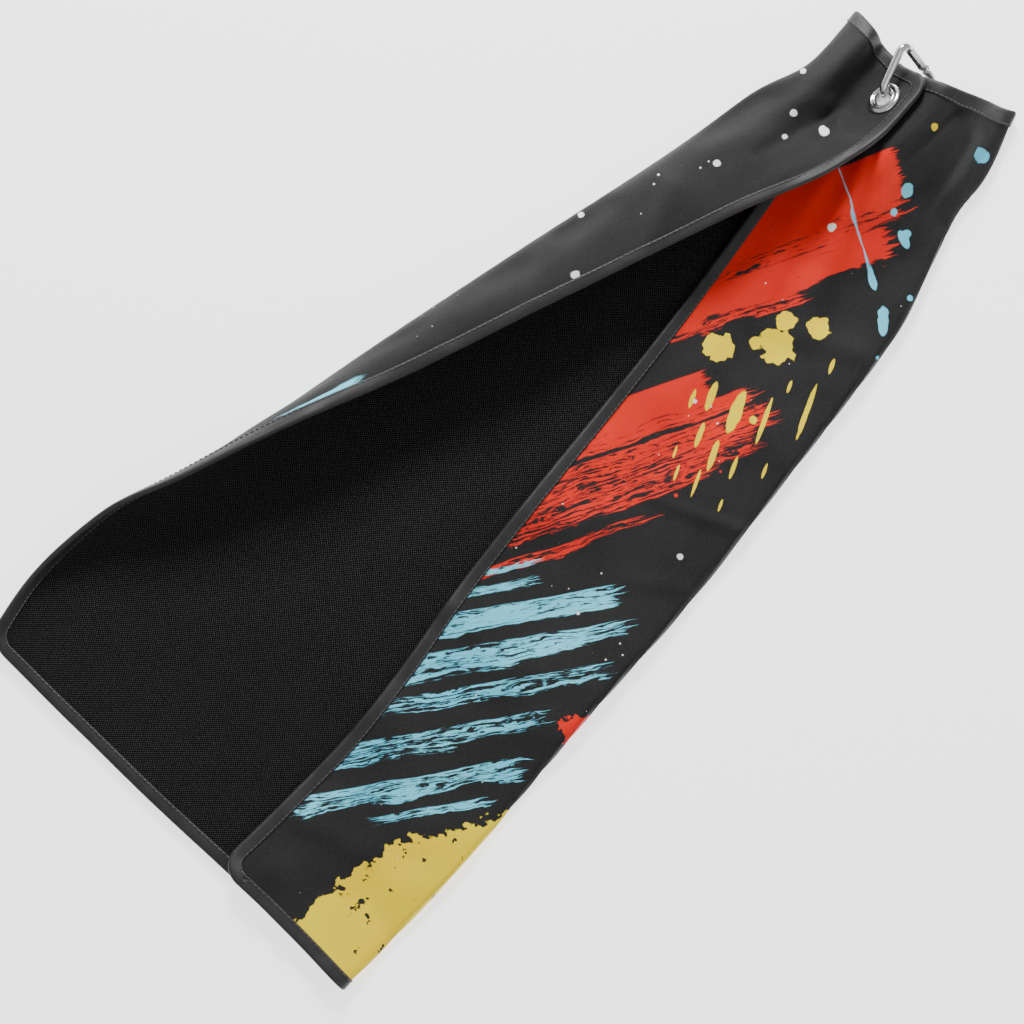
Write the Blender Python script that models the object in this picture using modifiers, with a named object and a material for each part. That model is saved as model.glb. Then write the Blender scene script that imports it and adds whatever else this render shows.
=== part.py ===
"""A golf towel, folded in from both long sides, pinned by a grommet and fanned open at its foot.

Metres, +Z up. The towel lies on its back panel, with the grommet end towards +Y and the
printed right flap towards +X. The origin is at the middle of the towel's footprint.
"""
import math

import bmesh
import bpy
import numpy as np
from mathutils import Matrix, Vector

MM = 0.001

# The cut cloth, laid flat.
TOWEL_WIDTH = 381 * MM
TOWEL_LENGTH = 610 * MM
CORNER_RADIUS = 14 * MM
# The sizes that the folded shape below was drawn for.
DRAWN_WIDTH = 381 * MM
DRAWN_LENGTH = 610 * MM
DRAWN_REACH = 30 * MM

# Layers, as heights from the middle of the towel's thickness; plus is the printed side.
FACE_THICKNESS = 0.5 * MM
BACK_THICKNESS = 1.0 * MM
GAP = 0.3 * MM
BINDING_WIDTH = CORNER_RADIUS / 2
BINDING_THICKNESS = 0.3 * MM
THREAD_THICKNESS = 0.3 * MM
SEAM_INSET = BINDING_WIDTH - 0.8 * MM

# Grommet.
GROMMET_X = 5.7 * MM
GROMMET_Y = 303 * MM
GROMMET_Z = 21.0 * MM
GROMMET_TILT = math.radians(45)
HOLE_RADIUS = 5.0 * MM
BARREL_WALL = 0.6 * MM
FLANGE_RADIUS = 9.8 * MM
FLANGE_HEIGHT = 1.1 * MM
WASHER_RADIUS = 9.4 * MM
WASHER_THICKNESS = 1.0 * MM
ROLL_HEIGHT = 0.8 * MM
ROLL_RADIUS = 7.2 * MM
STACK_DEPTH = 9.5 * MM

# Carabiner.
WIRE_RADIUS = 2.4 * MM
SPINE_GAP = 0.5 * MM
SPINE_OFFSET = HOLE_RADIUS - WIRE_RADIUS - SPINE_GAP
EYE_WIDTH = 25.9 * MM
NOSE_REACH = 17.5 * MM
SPINE_BEND = 6.0 * MM
FOOT_REACH = 25.5 * MM
NOSE_BEND_RADIUS = 3.6 * MM
SPINE_BEND_RADIUS = 7.0 * MM
FOOT_BEND_RADIUS = 8.0 * MM
WIRE_STEP = math.radians(15)

# Gate.
GATE_LENGTH = 17.4 * MM
GATE_RADIUS = 2.3 * MM
HINGE_REACH = 6.5 * MM
NOSE_GAP = 0.4 * MM
SLOT_WIDTH = 2.2 * MM
TANG_THICKNESS = 1.6 * MM
TANG_RADIUS = 2.0 * MM
RIVET_RADIUS = 0.7 * MM
RIVET_HEAD_RADIUS = 1.3 * MM
RIVET_HEAD_HEIGHT = 0.4 * MM
SPRING_BORE = 1.5 * MM
SPRING_RADIUS = 1.05 * MM
SPRING_WIRE = 0.15 * MM
SPRING_TURNS = 5
SPRING_LENGTH = 8.0 * MM

ROUND_SIDES = 32
SMALL_SIDES = 16
SECTION_SAMPLES = 12
FOLD_REACH = 1.6
LEAD_CURVE = 1.5
NORMAL_STEP = 0.6 * MM
JOIN_DISTANCE = 0.001 * MM
BORE_OVERRUN = 4 * MM
SPRING_SIDES = 10


def flat_side(fold_x, edge_x, panel_z, fold_radius):
    """Right half of a section that lies flat: back panel, tight fold and right flap."""
    flap_z = panel_z + 2 * fold_radius
    panel = [(edge_x + share * (fold_x - edge_x), panel_z) for share in (-0.45, -0.05, 0.3, 0.65)]
    flap = [(edge_x + share * (fold_x - edge_x), flap_z) for share in (0.65, 0.35, 0.18, 0.07, 0.0)]
    return panel + fold(fold_x, panel_z + fold_radius, fold_radius) + flap


def fold(x, z, radius):
    """Three points of a fold that turns back at x."""
    reach = FOLD_REACH * radius
    return [(x - reach, z - radius), (x, z), (x - reach, z + radius)]


# The section at the grommet, where both flaps and the back panel climb side by side.
GROMMET_LEFT = [(17.8, 33.1), (14.2, 29.5), (-1.6, 13.7), (-11.5, 13.4), (-24, 19), (-37, 13), (-34, 6.5),
                (-24, 2.7), (-1.5, 2.4), (4.5, 6.4), (20, 21.9), (27.5, 24.6), (47, 15.5)]
GROMMET_RIGHT = [(48, 21.5), (26, 29.6), (16, 24.9), (-0.5, 8.4), (-23.5, 7.6)]

# Sections across the towel in millimetres, from foot to grommet end. Each has its place along
# the towel, how far its left and right sides lead it, and its points from the left flap's
# bound edge, round the left fold, along the back panel and back over the right flap.
SECTIONS = [
    (-252, 10, -7,
     [(-171.5, 6.4), (-170, 5.8), (-168, 5.2), (-165.5, 4.7), (-162, 4.2), (-157, 3.7), (-150, 3.3),
      (-140, 3), (-115, 2.9)] + flat_side(102, 6, 2.9, 3.4)),
    (-206, 6, -5,
     [(-175.5, 12.5), (-174.5, 10.5), (-173, 8.7), (-171, 7), (-167.5, 5), (-162, 3.2), (-154, 1.8),
      (-142, 1.0), (-115, 0.8)] + flat_side(105.5, 10, 0.75, 2.1)),
    (-150, 3, -3,
     [(-168, 22.5), (-168, 20), (-167.3, 17), (-166, 14), (-163, 10.6), (-158, 7), (-150, 3.6),
      (-138, 1.5), (-112, 0.8)] + flat_side(107, 13, 0.75, 2.1)),
    (-106, 1, -2,
     [(-148.5, 33), (-150, 30.5), (-151, 27.5), (-151, 23.5), (-149.5, 19), (-146, 13.5), (-138, 6.8),
      (-125, 2.2), (-103, 0.8)] + flat_side(106.5, 11, 0.75, 2.1)),
    (-53, 0, 0,
     [(-126, 37), (-128.5, 36), (-131, 33.6), (-133.5, 30), (-135, 25.5), (-134, 18.5), (-127, 9),
      (-114, 3), (-94, 0.8)] + flat_side(106, 5.5, 0.75, 2.1)),
    (14, 0, 0,
     [(-94, 37), (-97, 37.4), (-101, 37.2), (-106, 35.8), (-112, 31.5), (-117, 22), (-112, 10),
      (-99, 3), (-80, 0.8)] + flat_side(107, 2, 0.75, 2.1)),
    (105, 0, 2,
     [(-56, 34), (-60, 34.8), (-66, 35.2), (-72, 34.8), (-81, 31.5), (-92, 20), (-87, 9),
      (-74, 2.8), (-56, 0.8)] + flat_side(102.7, -1, 0.75, 2.1)),
    (204, 1, 5,
     [(-14, 29.5), (-19, 30), (-25, 31), (-32, 31.5), (-46, 30), (-63.5, 18), (-59, 8),
      (-47, 2.6), (-32, 0.8), (-8, 0.75), (14, 1.4), (34, 2.2), (66, 1.2)] + fold(96.5, 3.0, 2.2)
     + [(66, 6.2), (34, 8), (14, 7.2), (0, 5.6), (-8, 5.3)]),
    (262, 3, 12,
     [(12, 32), (6, 28), (-6, 22.5), (-16, 20.5), (-32, 22.5), (-49.5, 14), (-46, 6.5),
      (-36, 2.0), (-10, 0.9), (3, 3.4), (16, 11.0), (29, 15.0), (52, 8)] + fold(80.5, 3.4, 2.3)
     + [(54, 13.5), (28, 20.5), (14, 17.0), (-2, 8.4), (-15, 6.3)]),
    (290, 5, 17, GROMMET_LEFT + fold(76.5, 5.9, 3.1) + GROMMET_RIGHT),
    (323.5, 7, 24, GROMMET_LEFT + fold(65, 6.2, 3.3) + GROMMET_RIGHT),
]
# Each straight run at the grommet gets a point at its middle, after these points.
RUN_STARTS = (1, 9, 18)
# Grid columns as places between section points, with halves where the cloth turns tightly.
COLUMNS = [2, 3, 3.4, 4, 5, 5.5, 6, 6.5, 7, 8, 9, 10, 11, 12, 13, 14, 14.6, 15, 15.5, 16, 16.5, 17, 17.4,
           18, 19, 20, 21, 22]
EDGE_STEP = 2 * MM
RIM_STEP = CORNER_RADIUS * (1 - math.cos(math.pi / 6))
INSETS = (0, RIM_STEP, BINDING_WIDTH)
ROW_STEP = 32 * MM
CORNER_ROWS = 3
CORNER_BLEND = 22 * MM


def hermite(knots, values, at):
    """A smooth curve through values at uneven knots, which never swings past them."""
    index = min(max(int(np.searchsorted(knots, at, side="right")) - 1, 0), len(knots) - 2)

    def slope(here):
        if here in (0, len(knots) - 1):
            near = min(max(here, 1), len(knots) - 1)
            return (values[near] - values[near - 1]) / (knots[near] - knots[near - 1])
        before = (values[here] - values[here - 1]) / (knots[here] - knots[here - 1])
        after = (values[here + 1] - values[here]) / (knots[here + 1] - knots[here])
        same_way = before * after > 0
        total = np.where(same_way, before + after, 1)
        return np.where(same_way, 2 * before * after / total, 0)

    span = knots[index + 1] - knots[index]
    t = (at - knots[index]) / span
    start = (2 * t ** 3 - 3 * t ** 2 + 1) * values[index]
    end = (3 * t ** 2 - 2 * t ** 3) * values[index + 1]
    leaving = (t ** 3 - 2 * t ** 2 + t) * span * slope(index)
    arriving = (t ** 3 - t ** 2) * span * slope(index + 1)
    return start + end + leaving + arriving


def spread(offset, ratio):
    """Stretch a distance from the grommet by ratio, leaving the cloth near it alone."""
    size = np.abs(offset)
    return np.sign(offset) * np.where(size > DRAWN_REACH, DRAWN_REACH + (size - DRAWN_REACH) * ratio, size)


class FoldedCloth:
    """The towel's middle surface, found from flat cloth coordinates across and along."""

    def __init__(self):
        self.places = np.array([row[0] * MM for row in SECTIONS])
        self.points = np.array([self.section_points(*row) for row in SECTIONS])
        self.cache = {}

    def section_points(self, place, left_lead, right_lead, outline):
        for start in reversed(RUN_STARTS):
            middle = np.mean(outline[start:start + 2], axis=0)
            outline = outline[:start + 1] + [tuple(middle)] + outline[start + 1:]
        outline = np.array(outline) * MM
        side = outline[:, 0] - GROMMET_X
        reach = np.where(side < 0, -side / np.abs(side.min()), side / side.max())
        lead = np.where(side < 0, left_lead, right_lead) * MM * reach ** LEAD_CURVE
        across = GROMMET_X + spread(side, TOWEL_WIDTH / DRAWN_WIDTH)
        along = GROMMET_Y + spread(place * MM + lead - GROMMET_Y, TOWEL_LENGTH / DRAWN_LENGTH)
        return np.column_stack([across, along, outline[:, 1]])

    def section_places(self):
        """Flat places of the drawn sections between the towel's two ends."""
        return (self.places[1:-1] - self.places[0]) * TOWEL_LENGTH / (self.places[-1] - self.places[0])

    def section(self, along):
        """Dense points across the towel, with the flat distance and the column place of each."""
        key = round(along, 7)
        if key not in self.cache:
            share = along / TOWEL_LENGTH
            place = self.places[0] + share * (self.places[-1] - self.places[0])
            knots = hermite(self.places, self.points, place)
            steps = np.linalg.norm(np.diff(knots, axis=0), axis=1)
            chords = np.concatenate([[0], np.cumsum(steps)])
            columns = np.linspace(0, len(knots) - 1, (len(knots) - 1) * SECTION_SAMPLES + 1)
            marks = np.interp(columns, np.arange(len(knots)), chords)
            dense = np.array([hermite(chords, knots, mark) for mark in marks])
            lengths = np.concatenate([[0], np.cumsum(np.linalg.norm(np.diff(dense, axis=0), axis=1))])
            self.cache[key] = (dense, lengths * TOWEL_WIDTH / lengths[-1], columns)
        return self.cache[key]

    def across_at(self, column, along):
        _, flat, columns = self.section(along)
        return float(np.interp(column, columns, flat))

    def point(self, across, along):
        dense, flat, _ = self.section(along)
        return np.array([np.interp(across, flat, dense[:, axis]) for axis in range(3)])

    def normal(self, across, along):
        low, high = max(across - NORMAL_STEP, 0), min(across + NORMAL_STEP, TOWEL_WIDTH)
        before, after = max(along - NORMAL_STEP, 0), min(along + NORMAL_STEP, TOWEL_LENGTH)
        over = self.point(high, along) - self.point(low, along)
        up = self.point(across, after) - self.point(across, before)
        out = np.cross(up, over)
        return out / np.linalg.norm(out)

    def lifted(self, across, along, height):
        return self.point(across, along) + self.normal(across, along) * height


def cloth_grid(cloth):
    """Rows of flat (across, along) places whose outline is a rectangle with round corners."""
    turns = [CORNER_RADIUS * (1 - math.cos(math.pi / 2 * k / CORNER_ROWS)) for k in range(CORNER_ROWS)]
    marks = [CORNER_RADIUS, *cloth.section_places(), TOWEL_LENGTH - CORNER_RADIUS]
    middle = [CORNER_RADIUS]
    for low, high in zip(marks, marks[1:]):
        steps = math.ceil((high - low) / ROW_STEP)
        middle += [low + (high - low) * (k + 1) / steps for k in range(steps)]
    rows = turns + middle + [TOWEL_LENGTH - turn for turn in reversed(turns)]
    grid = []
    for along in rows:
        depth = min(along, TOWEL_LENGTH - along, CORNER_RADIUS)
        inset = CORNER_RADIUS - math.sqrt(CORNER_RADIUS ** 2 - (CORNER_RADIUS - depth) ** 2)
        left = list(INSETS)
        right = [TOWEL_WIDTH - edge for edge in reversed(left)]
        low = [BINDING_WIDTH + EDGE_STEP * (k + 1) for k in range(len(COLUMNS))]
        high = [TOWEL_WIDTH - edge for edge in reversed(low)]
        inner = [min(max(cloth.across_at(column, along), near), far)
                 for column, near, far in zip(COLUMNS, low, high)]
        grid.append([(inset_across(across, inset), along) for across in left + inner + right])
    return grid


def inset_across(across, inset):
    """Move a place near a long edge inwards, so that the row ends on the round corner."""
    edge = min(across, TOWEL_WIDTH - across)
    moved = inset + edge * (1 - inset / CORNER_BLEND) if edge < CORNER_BLEND else edge
    return moved if across < TOWEL_WIDTH / 2 else TOWEL_WIDTH - moved


def boundary(grid):
    """Flat places at the rim and at the first two grid lines inside it, once round the outline."""
    def end(rows):
        inside = range(len(INSETS), len(rows[0]) - len(INSETS))
        return [[row[k] for row in rows] if k in inside else inwards(rows[0][k])
                for k in range(len(rows[0]))]

    left = [inwards(row[0]) for row in grid]
    right = [inwards(row[-1]) for row in grid]
    foot, top = end(grid[:3]), end(grid[:-4:-1])
    return foot[:-1] + right[:-1] + top[:0:-1] + left[:0:-1]


def inwards(place):
    """Flat places at each inset from the round-cornered outline, straight in from one on it."""
    size = np.array([TOWEL_WIDTH, TOWEL_LENGTH])
    core = np.clip(place, CORNER_RADIUS, size - CORNER_RADIUS)
    return [np.array(place) + (core - place) * inset / CORNER_RADIUS for inset in INSETS]


def material(name, colour, roughness, metallic=0.0):
    made = bpy.data.materials.new(name)
    made.use_nodes = True
    shader = made.node_tree.nodes["Principled BSDF"]
    shader.inputs["Base Color"].default_value = (*colour, 1)
    shader.inputs["Roughness"].default_value = roughness
    shader.inputs["Metallic"].default_value = metallic
    return made


def add_object(name, mesh, collection, finish=None):
    made = bpy.data.objects.new(name, mesh)
    collection.objects.link(made)
    if finish:
        mesh.materials.append(finish)
    return made


def mesh_from_rings(name, rings, profile):
    """A closed loop of tube through rings of points, its seams leaning as the cloth's do."""
    shape = bmesh.new()
    loops = [[shape.verts.new(point) for point in ring] for ring in rings]
    pairs = zip(loops, loops[1:] + loops[:1])
    for first, second in pairs:
        for k in range(len(first)):
            after = (k + 1) % len(first)
            low, high = (k, after) if profile[k][0] > profile[after][0] else (after, k)
            shape.faces.new((first[low], first[high], second[high]))
            shape.faces.new((second[high], second[low], first[low]))
    bmesh.ops.recalc_face_normals(shape, faces=shape.faces)
    if shape.calc_volume(signed=True) < 0:
        bmesh.ops.reverse_faces(shape, faces=shape.faces)
    mesh = bpy.data.meshes.new(name)
    shape.to_mesh(mesh)
    shape.free()
    return mesh


def cut(target, cutter, operation="DIFFERENCE"):
    modifier = target.modifiers.new(operation.lower(), "BOOLEAN")
    modifier.operation = operation
    modifier.object = cutter
    modifier.solver = "EXACT"


def make_cloth_layer(name, cloth, grid, start, thickness, collection, finish):
    """One cloth of the towel: a sheet through the folded shape, thickened away from the middle."""
    shape = bmesh.new()
    rows = [[shape.verts.new(cloth.lifted(*place, start)) for place in row] for row in grid]
    for lower, upper in zip(rows, rows[1:]):
        under_tape = min(rows.index(lower), len(rows) - 1 - rows.index(upper)) < 2
        for k in range(len(lower) - 1):
            corners = (lower[k], upper[k], upper[k + 1], lower[k + 1])
            first = 1 if under_tape else 0
            shape.faces.new(corners[first:first + 3])
            shape.faces.new((corners[first + 2], corners[first - 1], corners[first]))
    mesh = bpy.data.meshes.new(name)
    shape.to_mesh(mesh)
    shape.free()
    layer = add_object(name, mesh, collection, finish)
    solid = layer.modifiers.new("thickness", "SOLIDIFY")
    solid.thickness = thickness
    solid.offset = 1 if start > 0 else -1
    return layer


def sweep_round_edge(name, cloth, grid, profile, collection, finish):
    """Sweep a profile of (inset from the edge, height) points round the towel's outline."""
    rings = []
    for places in boundary(grid):
        ring = []
        for inset, height in profile:
            rim, step, deep = (cloth.lifted(*place, height) for place in places)
            if inset > RIM_STEP:
                ring.append(step + (deep - step) * (inset - RIM_STEP) / (BINDING_WIDTH - RIM_STEP))
            else:
                ring.append(rim + (step - rim) * inset / RIM_STEP)
        rings.append(ring)
    return add_object(name, mesh_from_rings(name, rings, profile), collection, finish)


def make_edge(cloth, grid, collection, tape, thread):
    """The binding tape round the raw edge, and the two threads of its seam."""
    face_in = GAP / 2 + FACE_THICKNESS + GAP
    back_in = GAP / 2 + BACK_THICKNESS + GAP
    face_out, back_out = face_in + BINDING_THICKNESS, back_in + BINDING_THICKNESS
    rim = GAP + BINDING_THICKNESS
    tape_profile = [(BINDING_WIDTH, face_out), (RIM_STEP, face_out), (-rim, face_out), (-rim, -back_out),
                    (RIM_STEP, -back_out), (BINDING_WIDTH, -back_out), (BINDING_WIDTH, -back_in),
                    (RIM_STEP, -back_in), (-GAP, -back_in), (-GAP, face_in), (RIM_STEP, face_in),
                    (BINDING_WIDTH, face_in)]
    sweep_round_edge("edge_binding", cloth, grid, tape_profile, collection, tape)
    half = THREAD_THICKNESS / 2
    seams = {"needle_thread": face_out + GAP + half, "bobbin_thread": -back_out - GAP - half}
    for name, height in seams.items():
        square = [(SEAM_INSET - half, height - half), (SEAM_INSET + half, height - half),
                  (SEAM_INSET + half, height + half), (SEAM_INSET - half, height + half)]
        sweep_round_edge(name, cloth, grid, square, collection, thread)


def turned(name, profile, place, collection, finish, sides=ROUND_SIDES):
    """Turn a closed profile of (radius, height) points about the place's own Z axis."""
    shape = bmesh.new()
    ring = [shape.verts.new((radius, 0, height)) for radius, height in profile]
    for k in range(len(ring)):
        shape.edges.new((ring[k], ring[(k + 1) % len(ring)]))
    mesh = bpy.data.meshes.new(name)
    shape.to_mesh(mesh)
    shape.free()
    made = add_object(name, mesh, collection, finish)
    made.matrix_world = place
    screw = made.modifiers.new("turn", "SCREW")
    screw.steps = sides
    screw.render_steps = sides
    screw.use_merge_vertices = True
    screw.merge_threshold = JOIN_DISTANCE
    screw.use_normal_calculate = True
    return made


def cylinder(name, radius, low, high, place, collection, finish=None, sides=ROUND_SIDES):
    """A cylinder along the place's own Z axis, from low to high."""
    shape = bmesh.new()
    middle = Matrix.Translation((0, 0, (low + high) / 2))
    bmesh.ops.create_cone(shape, cap_ends=True, segments=sides, radius1=radius, radius2=radius,
                          depth=high - low, matrix=middle)
    mesh = bpy.data.meshes.new(name)
    shape.to_mesh(mesh)
    shape.free()
    made = add_object(name, mesh, collection, finish)
    made.matrix_world = place
    return made


def block(name, low, high, place, collection):
    """A box between two corners in the place's own axes."""
    low, high = Vector(low), Vector(high)
    shape = bmesh.new()
    bmesh.ops.create_cube(shape, size=1, matrix=Matrix.Translation((low + high) / 2)
                          @ Matrix.Diagonal((*(high - low), 1)))
    mesh = bpy.data.meshes.new(name)
    shape.to_mesh(mesh)
    shape.free()
    made = add_object(name, mesh, collection)
    made.matrix_world = place
    return made


def as_cutter(made):
    made.hide_render = True
    made.display_type = "WIRE"
    return made


def grommet_place():
    """Grommet axes: Z out of the printed side, Y along the towel."""
    lean = Matrix.Rotation(-GROMMET_TILT, 4, "Y")
    return Matrix.Translation((GROMMET_X, GROMMET_Y, GROMMET_Z)) @ lean


def make_grommet(place, collection, finish):
    """The flanged eyelet, and the washer that its barrel is rolled over."""
    barrel = HOLE_RADIUS + BARREL_WALL
    seat = GAP / 2 + FACE_THICKNESS + GAP
    washer_top = -(STACK_DEPTH + seat)
    washer_low = washer_top - WASHER_THICKNESS
    roll_top = washer_low - GAP
    roll_low = roll_top - ROLL_HEIGHT
    soft = FLANGE_HEIGHT / 3
    flange = [(HOLE_RADIUS, seat + soft), (HOLE_RADIUS + soft, seat + FLANGE_HEIGHT - soft / 2),
              (HOLE_RADIUS + 2 * soft, seat + FLANGE_HEIGHT),
              (FLANGE_RADIUS - 3 * soft, seat + FLANGE_HEIGHT),
              (FLANGE_RADIUS - soft / 2, seat + FLANGE_HEIGHT - soft), (FLANGE_RADIUS, seat + soft / 2),
              (FLANGE_RADIUS - soft / 2, seat), (barrel, seat)]
    roll = [(barrel, roll_top), (ROLL_RADIUS, roll_top), (ROLL_RADIUS, roll_low + soft),
            (ROLL_RADIUS - soft, roll_low), (HOLE_RADIUS + soft, roll_low), (HOLE_RADIUS, roll_low + soft)]
    turned("grommet_eyelet", flange + roll, place, collection, finish)
    bore = barrel + GAP
    ring = [(bore, washer_top), (WASHER_RADIUS - soft, washer_top), (WASHER_RADIUS, washer_top - soft),
            (WASHER_RADIUS, washer_low + soft), (WASHER_RADIUS - soft, washer_low), (bore, washer_low)]
    turned("grommet_washer", ring, place, collection, finish)


def rounded_path(corners):
    """Points (reach, side) along straight runs joined by arcs; each corner gives its radius."""
    path = [Vector(corners[0][:2])]
    for before, (x, y, radius), after in zip(corners, corners[1:], corners[2:]):
        corner = Vector((x, y))
        back = (Vector(before[:2]) - corner).normalized()
        ahead = (Vector(after[:2]) - corner).normalized()
        opening = back.angle(ahead)
        centre = corner + (back + ahead).normalized() * radius / math.sin(opening / 2)
        start = corner + back * radius / math.tan(opening / 2)
        swing = (start - centre).angle_signed(corner + ahead * radius / math.tan(opening / 2) - centre)
        steps = max(int(abs(swing) / WIRE_STEP), 2)
        for k in range(steps + 1):
            turn = Matrix.Rotation(-swing * k / steps, 2)
            path.append(centre + turn @ (start - centre))
    path.append(Vector(corners[-1][:2]))
    return path


def wire(name, points, radius, place, collection, finish, resolution=3):
    """A round wire as a mesh, through points in the place's own axes."""
    curve = bpy.data.curves.new(name + "_path", "CURVE")
    curve.dimensions = "3D"
    curve.bevel_depth = radius
    curve.bevel_resolution = resolution
    curve.use_fill_caps = True
    spline = curve.splines.new("POLY")
    spline.points.add(len(points) - 1)
    for target, point in zip(spline.points, points):
        target.co = (*point, 1)
    guide = bpy.data.objects.new(name + "_path", curve)
    collection.objects.link(guide)
    guide.matrix_world = place
    bpy.context.view_layer.update()
    mesh = bpy.data.meshes.new_from_object(guide.evaluated_get(bpy.context.evaluated_depsgraph_get()))
    bpy.data.objects.remove(guide)
    shape = bmesh.new()
    shape.from_mesh(mesh)
    bmesh.ops.remove_doubles(shape, verts=shape.verts, dist=JOIN_DISTANCE)
    bmesh.ops.recalc_face_normals(shape, faces=shape.faces)
    shape.to_mesh(mesh)
    shape.free()
    mesh.name = name
    mesh.materials.clear()
    made = add_object(name, mesh, collection, finish)
    made.matrix_world = place
    return made


def make_carabiner(place, parts, cutters, finish, steel):
    """The bent frame through the grommet, its gate, the rivet and the gate's spring.

    In the carabiner's own axes X runs down the spine, Y from the spine to the gate and Z
    along the rivet.
    """
    gate_line = SPINE_OFFSET + EYE_WIDTH
    gate_tip = HINGE_REACH - GATE_LENGTH
    shoulder = HINGE_REACH + GATE_RADIUS + NOSE_GAP
    corners = [(gate_tip - NOSE_GAP, gate_line, 0), (-NOSE_REACH, gate_line, NOSE_BEND_RADIUS),
               (-SPINE_BEND, SPINE_OFFSET, SPINE_BEND_RADIUS), (FOOT_REACH, SPINE_OFFSET, FOOT_BEND_RADIUS),
               (FOOT_REACH, gate_line, FOOT_BEND_RADIUS), (shoulder, gate_line, 0)]
    path = [(point.x, point.y, 0) for point in rounded_path(corners)]
    frame = wire("carabiner_frame", path, WIRE_RADIUS, place, parts, finish)
    hinge = place @ Matrix.Translation((HINGE_REACH, gate_line, 0))

    half_tang = TANG_THICKNESS / 2
    tang_neck = block("tang_neck", (0, -TANG_RADIUS, -half_tang),
                      (GATE_RADIUS + NOSE_GAP + WIRE_RADIUS, TANG_RADIUS, half_tang), hinge, cutters)
    tang_end = cylinder("tang_end", TANG_RADIUS, -half_tang, half_tang, hinge, cutters)
    cut(frame, as_cutter(tang_neck), "UNION")
    cut(frame, as_cutter(tang_end), "UNION")
    rivet_bore = cylinder("rivet_bore", RIVET_RADIUS + GAP, -2 * GATE_RADIUS, 2 * GATE_RADIUS, hinge,
                          cutters, sides=SMALL_SIDES)
    cut(frame, as_cutter(rivet_bore))

    bar_axes = hinge @ Matrix.Rotation(math.pi / 2, 4, "Y")
    flats = GATE_RADIUS / math.cos(math.pi / 6)
    gate = cylinder("carabiner_gate", flats, -GATE_LENGTH, 0, bar_axes, parts, finish, sides=6)
    fork_end = cylinder("fork_end", GATE_RADIUS, -GATE_RADIUS, GATE_RADIUS, hinge, cutters)
    cut(gate, as_cutter(fork_end), "UNION")
    slot_depth = TANG_RADIUS + GAP
    slot = block("fork_slot", (-slot_depth, -2 * GATE_RADIUS, -SLOT_WIDTH / 2),
                 (2 * GATE_RADIUS, 2 * GATE_RADIUS, SLOT_WIDTH / 2), hinge, cutters)
    cut(gate, as_cutter(slot))
    cut(gate, rivet_bore)
    bore_end = -slot_depth - SPRING_LENGTH
    spring_bore = cylinder("spring_bore", SPRING_BORE, bore_end, 0, bar_axes, cutters, sides=SMALL_SIDES)
    cut(gate, as_cutter(spring_bore))
    for piece in (gate, frame):
        piece.data.shade_smooth()

    head = GATE_RADIUS + GAP
    top = head + RIVET_HEAD_HEIGHT
    rivet_profile = [(0, top), (RIVET_HEAD_RADIUS, top - RIVET_HEAD_HEIGHT / 2), (RIVET_HEAD_RADIUS, head),
                     (RIVET_RADIUS, head), (RIVET_RADIUS, -head), (RIVET_HEAD_RADIUS, -head),
                     (RIVET_HEAD_RADIUS, -top + RIVET_HEAD_HEIGHT / 2), (0, -top)]
    turned_solid("gate_rivet", rivet_profile, hinge, parts, steel)

    end_room = SPRING_WIRE + GAP
    run = slot_depth - TANG_RADIUS + SPRING_LENGTH - 2 * end_room
    points = []
    steps = SPRING_TURNS * SPRING_SIDES
    for k in range(steps + 1):
        angle = 2 * math.pi * k / SPRING_SIDES
        reach = -TANG_RADIUS - end_room - run * k / steps
        points.append((reach, SPRING_RADIUS * math.cos(angle), SPRING_RADIUS * math.sin(angle)))
    wire("gate_spring", points, SPRING_WIRE, hinge, parts, steel, resolution=1)


def turned_solid(name, profile, place, collection, finish):
    """Turn an open profile whose ends lie on the axis."""
    made = turned(name, profile, place, collection, finish, SMALL_SIDES)
    shape = bmesh.new()
    shape.from_mesh(made.data)
    on_axis = [edge for edge in shape.edges if all(abs(vert.co.x) < JOIN_DISTANCE for vert in edge.verts)]
    bmesh.ops.delete(shape, geom=on_axis, context="EDGES_FACES")
    shape.to_mesh(made.data)
    shape.free()
    return made


def centre_on_footprint(collection):
    """Move every piece so that the origin is under the middle of the whole towel."""
    bpy.context.view_layer.update()
    depsgraph = bpy.context.evaluated_depsgraph_get()
    corners = []
    for piece in collection.objects:
        shape = piece.evaluated_get(depsgraph)
        matrix = np.array(shape.matrix_world)
        mesh = shape.to_mesh()
        points = np.array([vert.co for vert in mesh.vertices])
        corners.append(points @ matrix[:3, :3].T + matrix[:3, 3])
        shape.to_mesh_clear()
    points = np.concatenate(corners)
    low, high = points.min(axis=0), points.max(axis=0)
    return Vector((-(low[0] + high[0]) / 2, -(low[1] + high[1]) / 2, -low[2]))


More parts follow.
